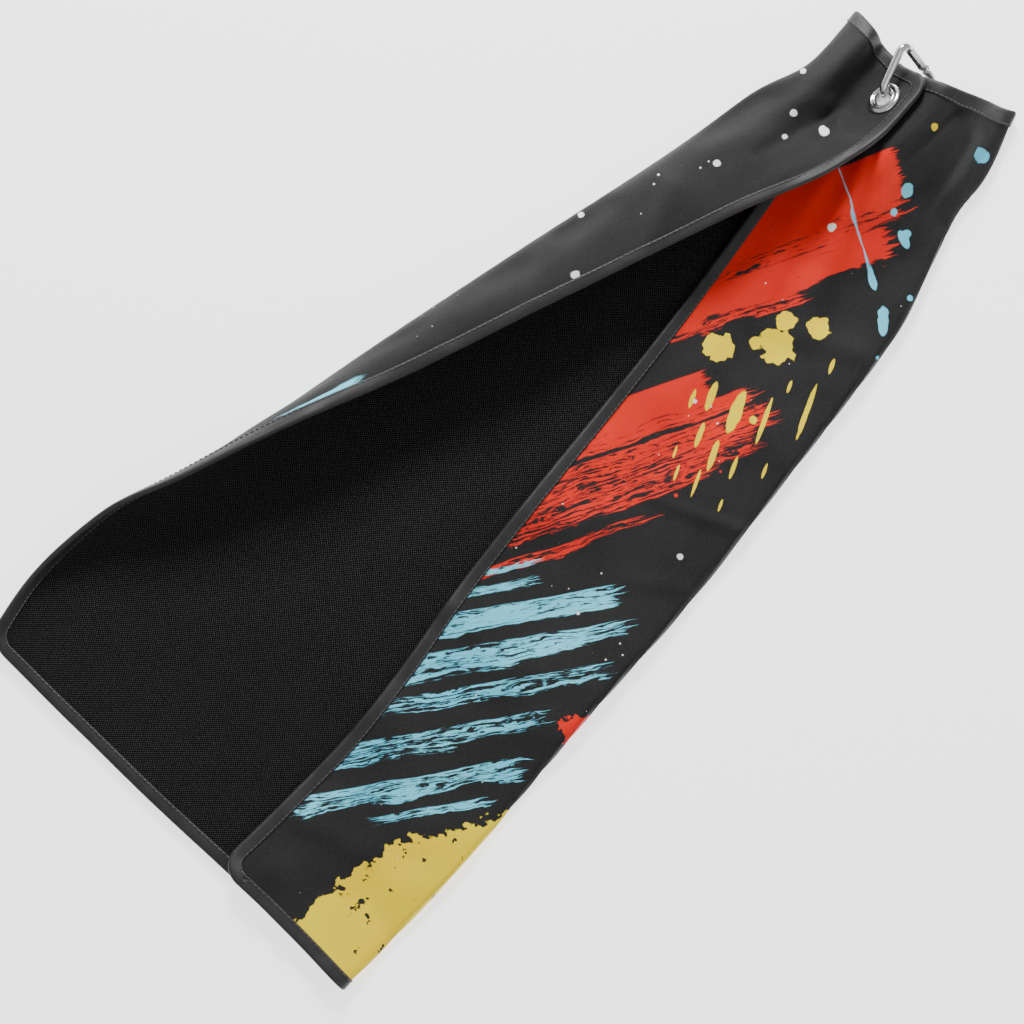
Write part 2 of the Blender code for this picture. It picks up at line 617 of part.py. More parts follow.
def main():
    for old in list(bpy.data.objects):
        bpy.data.objects.remove(old)
    parts = bpy.data.collections.new("golf_towel")
    cutters = bpy.data.collections.new("cutters")
    for collection in (parts, cutters):
        bpy.context.scene.collection.children.link(collection)

    cloth = FoldedCloth()
    grid = cloth_grid(cloth)
    place = grommet_place()
    printed = material("printed_polyester", (0.028, 0.028, 0.028), 0.75)
    textured = material("textured_microfibre", (0.005, 0.005, 0.005), 0.95)
    tape = material("satin_tape", (0.035, 0.035, 0.037), 0.45)
    thread = material("black_thread", (0.02, 0.02, 0.02), 0.6)
    nickel = material("nickel_plate", (0.72, 0.72, 0.72), 0.16, 1.0)
    steel = material("spring_steel", (0.5, 0.5, 0.5), 0.3, 1.0)

    layers = [make_cloth_layer("face_cloth", cloth, grid, GAP / 2, FACE_THICKNESS, parts, printed),
              make_cloth_layer("back_cloth", cloth, grid, -GAP / 2, BACK_THICKNESS, parts, textured)]
    bore = cylinder("grommet_bore", HOLE_RADIUS + BARREL_WALL + GAP, -STACK_DEPTH - BORE_OVERRUN,
                    BORE_OVERRUN, place, cutters)
    for layer in layers:
        cut(layer, as_cutter(bore))
    make_edge(cloth, grid, parts, tape, thread)
    make_grommet(place, parts, nickel)

    carabiner_axes = place @ Matrix.Rotation(math.pi / 2, 4, "Y")
    make_carabiner(carabiner_axes, parts, cutters, nickel, steel)

    shift = Matrix.Translation(centre_on_footprint(parts))
    for piece in list(parts.objects) + list(cutters.objects):
        piece.matrix_world = shift @ piece.matrix_world


main()
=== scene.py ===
import math

import bpy
import numpy as np
from mathutils import Matrix, Vector, noise


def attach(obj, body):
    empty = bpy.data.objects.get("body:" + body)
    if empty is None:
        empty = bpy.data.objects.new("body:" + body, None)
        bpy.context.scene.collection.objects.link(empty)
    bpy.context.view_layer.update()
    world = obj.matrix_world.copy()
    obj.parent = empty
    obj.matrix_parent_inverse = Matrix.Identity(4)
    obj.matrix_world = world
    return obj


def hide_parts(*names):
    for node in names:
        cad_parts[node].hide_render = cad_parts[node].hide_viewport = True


MM = 0.001
TOWEL_WIDTH, TOWEL_LENGTH = 0.381, 0.610
CORNER_RADIUS = 14 * MM
CORNER_BLEND = 22 * MM
CLOTH_STEP = 2.5 * MM
# The drawn sections are about the towel; this brings them over the row's origin.
SHIFT = np.array([34.626, -44.425, -0.1]) * MM
GROMMET = np.array([5.7, 303.0])
GROMMET_CENTRE = Vector((0.040326, 0.258575, 0.0209))
GROMMET_TILT = math.radians(45)
# The cloth is cleared away this far round the grommet's barrel, and along it.
BORE_CLEARANCE = 6.1 * MM
BORE_REACH = 20 * MM
# Layers, as heights from the middle of the towel's thickness; plus is the printed side.
LAYER_START = 0.15 * MM
FACE_THICKNESS = 0.5 * MM
BACK_THICKNESS = 1.0 * MM
# The binding's seam.
SEAM_INSET = 6.2 * MM
STITCH_PITCH = 3.2 * MM
STITCH_LENGTH = 2.5 * MM
STITCH_RADIUS = 0.3 * MM
STITCH_SIDES = 6
NEEDLE_HEIGHT = 1.42 * MM
BOBBIN_HEIGHT = -1.78 * MM
# Carabiner, in millimetres.
WIRE_RADIUS = 2.4
TANG_RADIUS = 0.8
# Points used to measure along each section.
SECTION_SAMPLES = 900
# Scales the lift of every laid crease.
CREASE_STRENGTH = 1.35
# Metres above the floor.
CAMERA_HEIGHT = 1.5717

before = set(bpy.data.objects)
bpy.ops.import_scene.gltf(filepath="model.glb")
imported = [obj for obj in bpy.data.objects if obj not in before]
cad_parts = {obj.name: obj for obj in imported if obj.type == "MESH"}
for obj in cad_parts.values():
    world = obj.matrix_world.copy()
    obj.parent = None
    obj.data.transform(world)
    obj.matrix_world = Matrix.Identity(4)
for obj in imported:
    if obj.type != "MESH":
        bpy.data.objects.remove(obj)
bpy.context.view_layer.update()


# ---------------------------------------------------------------- folded shape

def flat_side(fold_x, edge_x, panel_z, radius):
    """Right half of a section that lies flat: back panel, tight fold and right flap."""
    flap_z = panel_z + 2 * radius
    panel = [(edge_x + share * (fold_x - edge_x), panel_z) for share in (-0.45, -0.05, 0.3, 0.65)]
    flap = [(edge_x + share * (fold_x - edge_x), flap_z) for share in (0.65, 0.35, 0.18, 0.07, 0.0)]
    return panel + fold(fold_x, panel_z + radius, radius) + flap


def fold(x, z, radius):
    """Three points of a fold that turns back at x."""
    reach = 1.6 * radius
    return [(x - reach, z - radius), (x, z), (x - reach, z + radius)]


GROMMET_LEFT = [(17.8, 33.1), (14.2, 29.5), (-1.6, 13.7), (-11.5, 13.4), (-24, 19), (-37, 13), (-34, 6.5),
                (-24, 2.7), (-1.5, 2.4), (4.5, 6.4), (20, 21.9), (27.5, 24.6), (47, 15.5)]
GROMMET_RIGHT = [(48, 21.5), (26, 29.6), (16, 24.9), (-0.5, 8.4), (-23.5, 7.6)]
# Sections across the towel in millimetres, from foot to grommet end. Each has its place along
# the towel, how far its left and right sides lead it, and its points from the left flap's
# bound edge, round the left fold, along the back panel and back over the right flap.
SECTIONS = [
    (-252, 10, -7,
     [(-171.5, 6.4), (-170, 5.8), (-168, 5.2), (-165.5, 4.7), (-162, 4.2), (-157, 3.7), (-150, 3.3),
      (-140, 3), (-115, 2.9)] + flat_side(102, 6, 2.9, 3.4)),
    (-206, 6, -5,
     [(-175.5, 12.5), (-174.5, 10.5), (-173, 8.7), (-171, 7), (-167.5, 5), (-162, 3.2), (-154, 1.8),
      (-142, 1.0), (-115, 0.8)] + flat_side(105.5, 10, 0.75, 2.1)),
    (-150, 3, -3,
     [(-168, 22.5), (-168, 20), (-167.3, 17), (-166, 14), (-163, 10.6), (-158, 7), (-150, 3.6),
      (-138, 1.5), (-112, 0.8)] + flat_side(107, 13, 0.75, 2.1)),
    (-106, 1, -2,
     [(-148.5, 33), (-150, 30.5), (-151, 27.5), (-151, 23.5), (-149.5, 19), (-146, 13.5), (-138, 6.8),
      (-125, 2.2), (-103, 0.8)] + flat_side(106.5, 11, 0.75, 2.1)),
    (-53, 0, 0,
     [(-126, 37), (-128.5, 36), (-131, 33.6), (-133.5, 30), (-135, 25.5), (-134, 18.5), (-127, 9),
      (-114, 3), (-94, 0.8)] + flat_side(106, 5.5, 0.75, 2.1)),
    (14, 0, 0,
     [(-94, 37), (-97, 37.4), (-101, 37.2), (-106, 35.8), (-112, 31.5), (-117, 22), (-112, 10),
      (-99, 3), (-80, 0.8)] + flat_side(107, 2, 0.75, 2.1)),
    (105, 0, 2,
     [(-56, 34), (-60, 34.8), (-66, 35.2), (-72, 34.8), (-81, 31.5), (-92, 20), (-87, 9),
      (-74, 2.8), (-56, 0.8)] + flat_side(102.7, -1, 0.75, 2.1)),
    (204, 1, 5,
     [(-14, 29.5), (-19, 30), (-25, 31), (-32, 31.5), (-46, 30), (-63.5, 18), (-59, 8),
      (-47, 2.6), (-32, 0.8), (-8, 0.75), (14, 1.4), (34, 2.2), (66, 1.2)] + fold(96.5, 3.0, 2.2)
     + [(66, 6.2), (34, 8), (14, 7.2), (0, 5.6), (-8, 5.3)]),
    (262, 3, 12,
     [(12, 32), (6, 28), (-6, 22.5), (-16, 20.5), (-32, 22.5), (-49.5, 14), (-46, 6.5),
      (-36, 2.0), (-10, 0.9), (3, 3.4), (16, 11.0), (29, 15.0), (52, 8)] + fold(80.5, 3.4, 2.3)
     + [(54, 13.5), (28, 20.5), (14, 17.0), (-2, 8.4), (-15, 6.3)]),
    (290, 5, 17, GROMMET_LEFT + fold(76.5, 5.9, 3.1) + GROMMET_RIGHT),
    (323.5, 7, 24, GROMMET_LEFT + fold(65, 6.2, 3.3) + GROMMET_RIGHT),
]
# Each straight run at the grommet gets a point at its middle, after these points.
RUN_STARTS = (1, 9, 18)

# Creases that fan out from the grommet: heading, height, width and reach in degrees and mm.
FANNED_CREASES = [(-52, 2.4, 5, 60), (-61, -1.2, 4, 90), (-68, 3.0, 6, 120), (-77, -1.4, 5, 110),
                  (-84, 2.2, 6, 150), (-92, 1.4, 7, 120), (-101, 2.0, 6, 170), (-112, 2.6, 6, 90),
                  (-121, 1.6, 7, 150), (-136, 2.2, 6, 60)]
# Creases from one place to another on the towel: two ends, height and width in mm.
LAID_CREASES = [
    ((106, 77), (50, 58), 1.5, 4), ((100, 30), (70, 12), 0.8, 5), ((12, -60), (60, -75), 0.9, 7),
    ((20, -205), (90, -190), 1.0, 8), ((85, 190), (40, 170), 1.4, 7), ((92, 120), (40, 135), 1.0, 6),
    ((-150, -20), (-100, -40), 1.2, 7), ((-80, 120), (-50, 60), 1.0, 6),
    ((-50, 190), (-30, 120), 1.4, 6), ((-14, 324), (-9, 262), -5.0, 4.5),
    ((-22, 318), (-34, 240), 3.0, 7), ((-6, 292), (-26, 236), -3.0, 4),
    ((-44, 262), (-62, 200), -2.5, 6), ((-70, 160), (-96, 70), -2.0, 7),
    ((40, 322), (34, 262), -2.0, 4), ((56, 318), (66, 250), 2.4, 5)]


def smoothly(knots, values, at):
    """Curves through values at uneven knots that never swing past them."""
    spans = np.diff(knots).reshape(-1, *[1] * (values.ndim - 1))
    slopes = np.diff(values, axis=0) / spans
    before, after = slopes[:-1], slopes[1:]
    same_way = before * after > 0
    inner = np.where(same_way, 2 * before * after / np.where(same_way, before + after, 1), 0)
    tangents = np.concatenate([slopes[:1], inner, slopes[-1:]])
    index = np.clip(np.searchsorted(knots, at, side="right") - 1, 0, len(knots) - 2)
    span = spans[index]
    t = (np.asarray(at) - knots[index]).reshape(span.shape) / span
    return ((2 * t ** 3 - 3 * t ** 2 + 1) * values[index]
            + (3 * t ** 2 - 2 * t ** 3) * values[index + 1]
            + (t ** 3 - 2 * t ** 2 + t) * span * tangents[index]
            + (t ** 3 - t ** 2) * span * tangents[index + 1])


def section_points(place, left_lead, right_lead, outline):
    """One drawn section as points in metres, each side led along the towel by its reach."""
    for start in reversed(RUN_STARTS):
        middle = np.mean(outline[start:start + 2], axis=0)
        outline = outline[:start + 1] + [tuple(middle)] + outline[start + 1:]
    outline = np.array(outline, dtype=float)
    side = outline[:, 0] - GROMMET[0]
    reach = np.where(side < 0, -side / np.abs(side.min()), side / side.max())
    lead = np.where(side < 0, left_lead, right_lead) * reach ** 1.5
    return np.column_stack([outline[:, 0], place + lead, outline[:, 1]]) * MM


def soften(rows, radius):
    """Average each row with its neighbours along the towel, keeping both ends where they are."""
    weights = np.exp(-0.5 * (np.arange(-2 * radius, 2 * radius + 1) / radius) ** 2)
    weights /= weights.sum()
    count = 2 * radius
    head = 2 * rows[:1] - rows[count:0:-1]
    tail = 2 * rows[-1:] - rows[-2:-count - 2:-1]
    padded = np.concatenate([head, rows, tail])
    return sum(weight * padded[k:k + len(rows)] for k, weight in enumerate(weights))


def step_up(values, low, high):
    """0 below low, 1 above high, and smooth between."""
    t = np.clip((values - low) / (high - low), 0, 1)
    return t * t * (3 - 2 * t)


def normals_of(surface):
    """The printed side's normals over a grid of points."""
    over = np.gradient(surface, axis=1)
    along = np.gradient(surface, axis=0)
    out = np.cross(along, over)
    return out / np.linalg.norm(out, axis=2, keepdims=True)


def soft_noise(surface, wavelength, seed):
    """Gentle waves over the cloth, from about -0.5 to 0.5."""
    scale = 1 / wavelength
    flat = surface.reshape(-1, 3)
    values = [noise.noise((x * scale, y * scale, seed + 3 * (z * scale))) for x, y, z in flat]
    return np.array(values).reshape(surface.shape[:2])


def creases(surface):
    """How far each point of a flap lifts, in metres, from creases and the cloth's own waviness."""
    x = (surface[:, :, 0] - SHIFT[0]) / MM
    y = (surface[:, :, 1] - SHIFT[1]) / MM
    away = np.hypot(x - GROMMET[0], y - GROMMET[1])
    heading = np.degrees(np.arctan2(y - GROMMET[1], x - GROMMET[0]))
    wander = 5 * soft_noise(surface, 0.05, 2.0)
    lift = 0
    for angle, height, width, reach in FANNED_CREASES:
        offset = np.radians(heading - angle) * away + wander * step_up(away, 20, 90)
        ridge = np.exp(-(offset / (width * (0.7 + away / 120))) ** 2)
        lift = lift + height * ridge * step_up(away, 13, 34) * np.exp(-(away / reach) ** 2)
    for start, end, height, width in LAID_CREASES:
        start, end = np.array(start, dtype=float), np.array(end, dtype=float)
        run = end - start
        share = np.clip(((x - start[0]) * run[0] + (y - start[1]) * run[1]) / (run @ run), 0, 1)
        aside = np.hypot(x - start[0] - share * run[0], y - start[1] - share * run[1] + 0.6 * wander)
        lift = lift + height * np.exp(-(aside / width) ** 2) * (1 - 0.7 * share)
    lift = lift + 3.0 * (0.4 + soft_noise(surface, 0.06, 5.0)) + 1.1 * soft_noise(surface, 0.024, 9.0)
    return CREASE_STRENGTH * lift * MM * step_up(away, 13, 30)


def fold_towel():
    """The towel's middle surface as rows of points, and its printed side's normals."""
    places = np.array([row[0] * MM for row in SECTIONS])
    points = np.array([section_points(*row) for row in SECTIONS])
    rows = round(TOWEL_LENGTH / CLOTH_STEP) + 1
    columns = round(TOWEL_WIDTH / CLOTH_STEP) + 1
    surface = []
    for knots in smoothly(places, points, np.linspace(places[0], places[-1], rows)):
        chords = np.concatenate([[0], np.cumsum(np.linalg.norm(np.diff(knots, axis=0), axis=1))])
        dense = smoothly(chords, knots, np.linspace(0, chords[-1], SECTION_SAMPLES))
        lengths = np.concatenate([[0], np.cumsum(np.linalg.norm(np.diff(dense, axis=0), axis=1))])
        flat = np.linspace(0, lengths[-1], columns)
        surface.append([np.interp(flat, lengths, dense[:, axis]) for axis in range(3)])
    surface = soften(np.array(surface).transpose(0, 2, 1), 3) + SHIFT
    normals = normals_of(surface)
    up = normals[:, :, 2]
    lift = creases(surface)
    deepest = -0.4 * MM - 4.0 * MM * step_up(surface[:, :, 2], 12 * MM, 19 * MM)
    flap = np.maximum(lift, deepest) * step_up(up, 0.25, 0.8)
    inner = np.clip(0.45 * lift, 0, 1.1 * MM) * step_up(-up, 0.3, 0.9)
    surface[:, :, 2] += flap + inner
    return surface, normals_of(surface)


SURFACE, NORMALS = fold_towel()


def sample(values, across, along):
    """Values of the folded towel at flat places across and along it."""
    x = np.clip(np.asarray(across) / TOWEL_WIDTH, 0, 1) * (values.shape[1] - 1)
    y = np.clip(np.asarray(along) / TOWEL_LENGTH, 0, 1) * (values.shape[0] - 1)
    left = np.minimum(x.astype(int), values.shape[1] - 2)
    low = np.minimum(y.astype(int), values.shape[0] - 2)
    a, b = (x - left)[..., None], (y - low)[..., None]
    lower = values[low, left] * (1 - a) + values[low, left + 1] * a
    upper = values[low + 1, left] * (1 - a) + values[low + 1, left + 1] * a
    return lower * (1 - b) + upper * b


def lifted(across, along, height):
    """Points at flat places, raised off the middle surface towards the printed side."""
    out = sample(NORMALS, across, along)
    out = out / np.linalg.norm(out, axis=-1, keepdims=True)
    return sample(SURFACE, across, along) + out * height


def outline(step):
    """Flat places once round the towel's round-cornered edge, and the way in from each."""
    size = np.array([TOWEL_WIDTH, TOWEL_LENGTH])
    r = CORNER_RADIUS
    arc = math.pi / 2 * r
    marks, inwards = [], []
    corners = [((size[0] - r, r), -90), ((size[0] - r, size[1] - r), 0),
               ((r, size[1] - r), 90), ((r, r), 180)]
    for k, (centre, angle) in enumerate(corners):
        turns = round(arc / step)
        for t in range(turns):
            heading = math.radians(angle + 90 * t / turns)
            out = np.array([math.cos(heading), math.sin(heading)])
            marks.append(np.array(centre) + out * r)
            inwards.append(-out)
        heading = math.radians(angle + 90)
        out = np.array([round(math.cos(heading)), round(math.sin(heading))])
        start = np.array(centre) + out * r
        end = np.array(corners[(k + 1) % 4][0]) + out * r
        count = round(np.linalg.norm(end - start) / step)
        for t in range(count):
            marks.append(start + (end - start) * t / count)
            inwards.append(-out.astype(float))
    return np.array(marks), np.array(inwards)


# ---------------------------------------------------------------------- meshes

def to_object(name, points, faces, finish, flat=None):
    """A smooth object from points and faces; flat keeps each point's place on the flat cloth."""
    mesh = bpy.data.meshes.new(name)
    mesh.from_pydata([tuple(point) for point in points], [], faces)
    mesh.polygons.foreach_set("use_smooth", [True] * len(mesh.polygons))
    if flat is not None:
        layer = mesh.attributes.new("flat", "FLOAT_VECTOR", "POINT")
        layer.data.foreach_set("vector", np.asarray(flat, dtype=float).ravel())
    mesh.materials.append(finish)
    made = bpy.data.objects.new(name, mesh)
    bpy.context.scene.collection.objects.link(made)
    return made


def near_bore(points, radius):
    """Which points lie within a distance of the grommet's own axis."""
    axis = np.array([-math.sin(GROMMET_TILT), 0, math.cos(GROMMET_TILT)])
    away = points - np.array(GROMMET_CENTRE)
    depth = away @ axis
    aside = np.linalg.norm(away - depth[:, None] * axis, axis=1)
    return (aside < radius) & (np.abs(depth) < BORE_REACH)


def make_cloth(name, start, thickness, finish):
    """One cloth of the towel, thickened away from the middle and open at the grommet."""
    rows, columns = SURFACE.shape[:2]
    along = np.linspace(0, TOWEL_LENGTH, rows)
    across = np.linspace(0, TOWEL_WIDTH, columns)
    depth = np.minimum(np.minimum(along, TOWEL_LENGTH - along), CORNER_RADIUS)
    inset = CORNER_RADIUS - np.sqrt(CORNER_RADIUS ** 2 - (CORNER_RADIUS - depth) ** 2)
    edge = np.minimum(across, TOWEL_WIDTH - across)
    moved = inset[:, None] + edge * (1 - inset[:, None] / CORNER_BLEND)
    moved = np.where(edge < CORNER_BLEND, moved, edge)
    flat_x = np.where(across < TOWEL_WIDTH / 2, moved, TOWEL_WIDTH - moved)
    flat_y = np.repeat(along[:, None], columns, axis=1)
    points = lifted(flat_x, flat_y, start).reshape(-1, 3)
    index = np.arange(rows * columns).reshape(rows, columns)
    quads = np.stack([index[:-1, :-1], index[1:, :-1], index[1:, 1:], index[:-1, 1:]], axis=-1)
    quads = quads.reshape(-1, 4)
    keep = ~near_bore(points, BORE_CLEARANCE)[quads].any(axis=1)
    flat = np.column_stack([flat_x.ravel(), flat_y.ravel(), np.zeros(flat_x.size)])
    made = to_object(name, points, quads[keep].tolist(), finish, flat)
    solid = made.modifiers.new("thickness", "SOLIDIFY")
    solid.thickness = thickness
    solid.offset = 1 if start > 0 else -1
    return made


def sweep(name, profile, step, finish):
    """A closed profile of (inset from the edge, height) points swept round the towel's outline."""
    marks, inwards = outline(step)
    rings = []
    rim = sample(SURFACE, *marks.T)
    inner = sample(SURFACE, *(marks + inwards * MM).T)
    out = rim - inner
    out /= np.linalg.norm(out, axis=1, keepdims=True)
    for inset, height in profile:
        place = marks + inwards * max(inset, 0)
        rings.append(lifted(*place.T, height) + out * max(-inset, 0))
    points = np.array(rings).transpose(1, 0, 2)
    count, width = points.shape[:2]
    faces = [(a * width + b, a * width + (b + 1) % width, ((a + 1) % count) * width + (b + 1) % width,
              ((a + 1) % count) * width + b) for a in range(count) for b in range(width)]
    gaps = np.linalg.norm(np.diff(marks, axis=0), axis=1)
    run = np.concatenate([[0], np.cumsum(gaps)])
    flat = [(length, inset, height) for length in run for inset, height in profile]
    return to_object(name, points.reshape(-1, 3), faces, finish, flat)


def make_stitches(name, height, finish):
    """One small thread bar per stitch, set along the seam."""
    marks, inwards = outline(0.4 * MM)
    steps = np.linalg.norm(np.diff(marks, axis=0, append=marks[:1]), axis=1)
    run = np.concatenate([[0], np.cumsum(steps)])
    count = round(run[-1] / STITCH_PITCH)
    closed_marks = np.concatenate([marks, marks[:1]]) + np.concatenate([inwards, inwards[:1]]) * SEAM_INSET
    points, faces = [], []
    shares = np.array([0.0, 0.12, 0.5, 0.88, 1.0])
    widths = np.array([0.35, 0.85, 1.0, 0.85, 0.35]) * STITCH_RADIUS
    dips = np.array([-0.35, -0.06, 0.08, -0.06, -0.35]) * MM
    for k in range(count):
        at = (k + 0.5 * (1 - STITCH_LENGTH / STITCH_PITCH)) * run[-1] / count + shares * STITCH_LENGTH
        place = np.column_stack([np.interp(at, run, closed_marks[:, axis]) for axis in range(2)])
        rise = height + np.sign(height) * dips
        centre = lifted(place[:, 0], place[:, 1], rise[:, None])
        out = sample(NORMALS, place[:, 0], place[:, 1])
        ahead = np.gradient(centre, axis=0)
        side = np.cross(out, ahead)
        side /= np.linalg.norm(side, axis=1, keepdims=True)
        base = len(points)
        for j in range(len(shares)):
            for turn in range(STITCH_SIDES):
                angle = 2 * math.pi * turn / STITCH_SIDES
                aside = math.cos(angle) * side[j] + math.sin(angle) * out[j]
                points.append(centre[j] + widths[j] * aside)
        faces += tube_faces(len(shares), STITCH_SIDES, base)
    return to_object(name, points, faces, finish)


def tube_faces(rings, sides, base=0):
    """Faces of a capped tube through rings of points that start at base."""
    faces = []
    for j in range(rings - 1):
        for k in range(sides):
            a = base + j * sides + k
            b = base + j * sides + (k + 1) % sides
            faces.append((a, b, b + sides, a + sides))
    faces.append(tuple(base + k for k in reversed(range(sides))))
    faces.append(tuple(base + (rings - 1) * sides + k for k in range(sides)))
    return faces


def grommet_axes():
    """Z out of the printed side, Y along the towel."""
    return Matrix.Translation(GROMMET_CENTRE) @ Matrix.Rotation(-GROMMET_TILT, 4, "Y")


def make_turned(name, profile, axes, finish, sides=96):
    """A closed profile of (radius, height) points in millimetres, turned about the axes' own Z."""
    points, faces = [], []
    for k in range(sides):
        turn = Matrix.Rotation(2 * math.pi * k / sides, 4, "Z")
        points += [axes @ (turn @ Vector((radius * MM, 0, height * MM))) for radius, height in profile]
    width = len(profile)
    for k in range(sides):
        after = (k + 1) % sides
        for b in range(width):
            c = (b + 1) % width
            faces.append((k * width + b, after * width + b, after * width + c, k * width + c))
    return to_object(name, points, faces, finish)


def bead(centre, base, half_width, height, low=0, high=180, steps=12):
    """A rounded bump of a turned profile, from its outer foot to its inner one."""
    angles = [math.radians(low + (high - low) * k / steps) for k in range(steps + 1)]
    return [(centre + half_width * math.cos(angle), base + height * math.sin(angle)) for angle in angles]


def rounded_path(corners, step=4):
    """Points along straight runs joined by arcs; each corner gives its radius."""
    path = [Vector(corners[0][:2])]
    for before, (x, y, radius), after in zip(corners, corners[1:], corners[2:]):
        corner = Vector((x, y))
        back = (Vector(before[:2]) - corner).normalized()
        ahead = (Vector(after[:2]) - corner).normalized()
        opening = back.angle(ahead)
        centre = corner + (back + ahead).normalized() * radius / math.sin(opening / 2)
        start = corner + back * radius / math.tan(opening / 2)
        swing = (start - centre).angle_signed(corner + ahead * radius / math.tan(opening / 2) - centre)
        turns = max(int(math.degrees(abs(swing)) / step), 2)
        for k in range(turns + 1):
            path.append(centre + Matrix.Rotation(-swing * k / turns, 2) @ (start - centre))
    path.append(Vector(corners[-1][:2]))
    return path


def make_wire(name, path, radius, axes, finish, sides=28):
    """A round wire through points in its own plane, with slightly rounded ends."""
    last = len(path) - 1
    tangents = [(path[min(k + 1, last)] - path[max(k - 1, 0)]).normalized() for k in range(last + 1)]
    stations = list(zip(path, tangents, [1.0] * len(path)))
    soft = 0.35
    stations[0] = (path[0] + tangents[0] * soft, tangents[0], 1.0)
    stations[-1] = (path[-1] - tangents[-1] * soft, tangents[-1], 1.0)
    stations.insert(0, (path[0], tangents[0], 0.86))
    stations.append((path[-1], tangents[-1], 0.86))
    points = []
    for centre, tangent, share in stations:
        side = Vector((-tangent.y, tangent.x))
        for k in range(sides):
            angle = 2 * math.pi * k / sides
            aside = side * math.cos(angle) * radius * share
            points.append(axes @ Vector(((centre.x + aside.x) * MM, (centre.y + aside.y) * MM,
                                         math.sin(angle) * radius * share * MM)))
    return to_object(name, points, tube_faces(len(stations), sides), finish)


# -------------------------------------------------------------------- finishes

def linear(code):
    """A colour as the shader needs it, from its usual hexadecimal name."""
    parts = [int(code[k:k + 2], 16) / 255 for k in (1, 3, 5)]
    return tuple(part / 12.92 if part < 0.04045 else ((part + 0.055) / 1.055) ** 2.4
                 for part in parts) + (1,)


class Field:
    """A number or colour that varies over a surface, with arithmetic that adds Math nodes."""

    def __init__(self, finish, socket):
        self.finish, self.socket = finish, socket

    def apply(self, operation, *values):
        return self.finish.node("ShaderNodeMath", {"operation": operation}, dict(enumerate(values)))

    def __add__(self, other):
        return self.apply("ADD", self, other)

    def __radd__(self, other):
        return self.apply("ADD", other, self)

    def __sub__(self, other):
        return self.apply("SUBTRACT", self, other)

    def __rsub__(self, other):
        return self.apply("SUBTRACT", other, self)

    def __mul__(self, other):
        return self.apply("MULTIPLY", self, other)

    def __rmul__(self, other):
        return self.apply("MULTIPLY", other, self)

    def __truediv__(self, other):
        return self.apply("DIVIDE", self, other)

    def __abs__(self):
        return self.apply("ABSOLUTE", self)

    def least(self, other):
        return self.apply("MINIMUM", self, other)

    def most(self, other):
        return self.apply("MAXIMUM", self, other)

    def sine(self):
        return self.apply("SINE", self)

    def root(self):
        return self.apply("SQRT", self)

    def rise(self, low, high):
        """0 below low, 1 above high, and smooth between."""
        return self.finish.node("ShaderNodeMapRange", {"interpolation_type": "SMOOTHSTEP"},
                                {"Value": self, "From Min": low, "From Max": high})


class Finish:
    """A material under construction."""

    def __init__(self, name):
        self.material = bpy.data.materials.new(name)
        self.material.use_nodes = True
        self.tree = self.material.node_tree
        self.tree.nodes.clear()

    def node(self, kind, settings, inputs, output=0):
        made = self.tree.nodes.new(kind)
        for name, value in settings.items():
            setattr(made, name, value)
        for name, value in inputs.items():
            if isinstance(value, Field):
                self.tree.links.new(value.socket, made.inputs[name])
            else:
                made.inputs[name].default_value = value
        return Field(self, made.outputs[output])

    def place(self):
        """The surface's place over the towel, in millimetres, as three fields."""
        spot = self.node("ShaderNodeTexCoord", {}, {}, "Object")
        moved = self.node("ShaderNodeVectorMath", {"operation": "SUBTRACT"}, {0: spot, 1: tuple(SHIFT)})
        scaled = self.node("ShaderNodeVectorMath", {"operation": "SCALE"}, {0: moved, "Scale": 1 / MM})
        return scaled, self.split(scaled)

    def flat(self):
        """The flat cloth's own coordinates in millimetres."""
        stored = self.node("ShaderNodeAttribute", {"attribute_name": "flat"}, {}, "Vector")
        scaled = self.node("ShaderNodeVectorMath", {"operation": "SCALE"}, {0: stored, "Scale": 1 / MM})
        return scaled, self.split(scaled)

    def split(self, vector):
        made = self.tree.nodes.new("ShaderNodeSeparateXYZ")
        self.tree.links.new(vector.socket, made.inputs[0])
        return [Field(self, output) for output in made.outputs]

    def vector(self, x, y, z=0.0):
        return self.node("ShaderNodeCombineXYZ", {}, {0: x, 1: y, 2: z})

    def noise(self, vector, scale, detail=3.0, roughness=0.55):
        return self.node("ShaderNodeTexNoise", {}, {"Vector": vector, "Scale": scale, "Detail": detail,
                                                    "Roughness": roughness}, "Fac")

    def mix(self, share, first, second):
        return self.node("ShaderNodeMix", {"data_type": "RGBA"}, {0: share, 6: first, 7: second}, 2)

    def bump(self, height, distance, strength=1.0):
        return self.node("ShaderNodeBump", {},
                         {"Height": height, "Distance": distance, "Strength": strength})

    def shade(self, **inputs):
        shader = self.node("ShaderNodeBsdfPrincipled", {}, {name.replace("_", " "): value
                                                           for name, value in inputs.items()})
        out = self.tree.nodes.new("ShaderNodeOutputMaterial")
        self.tree.links.new(shader.socket, out.inputs["Surface"])
        return self.material


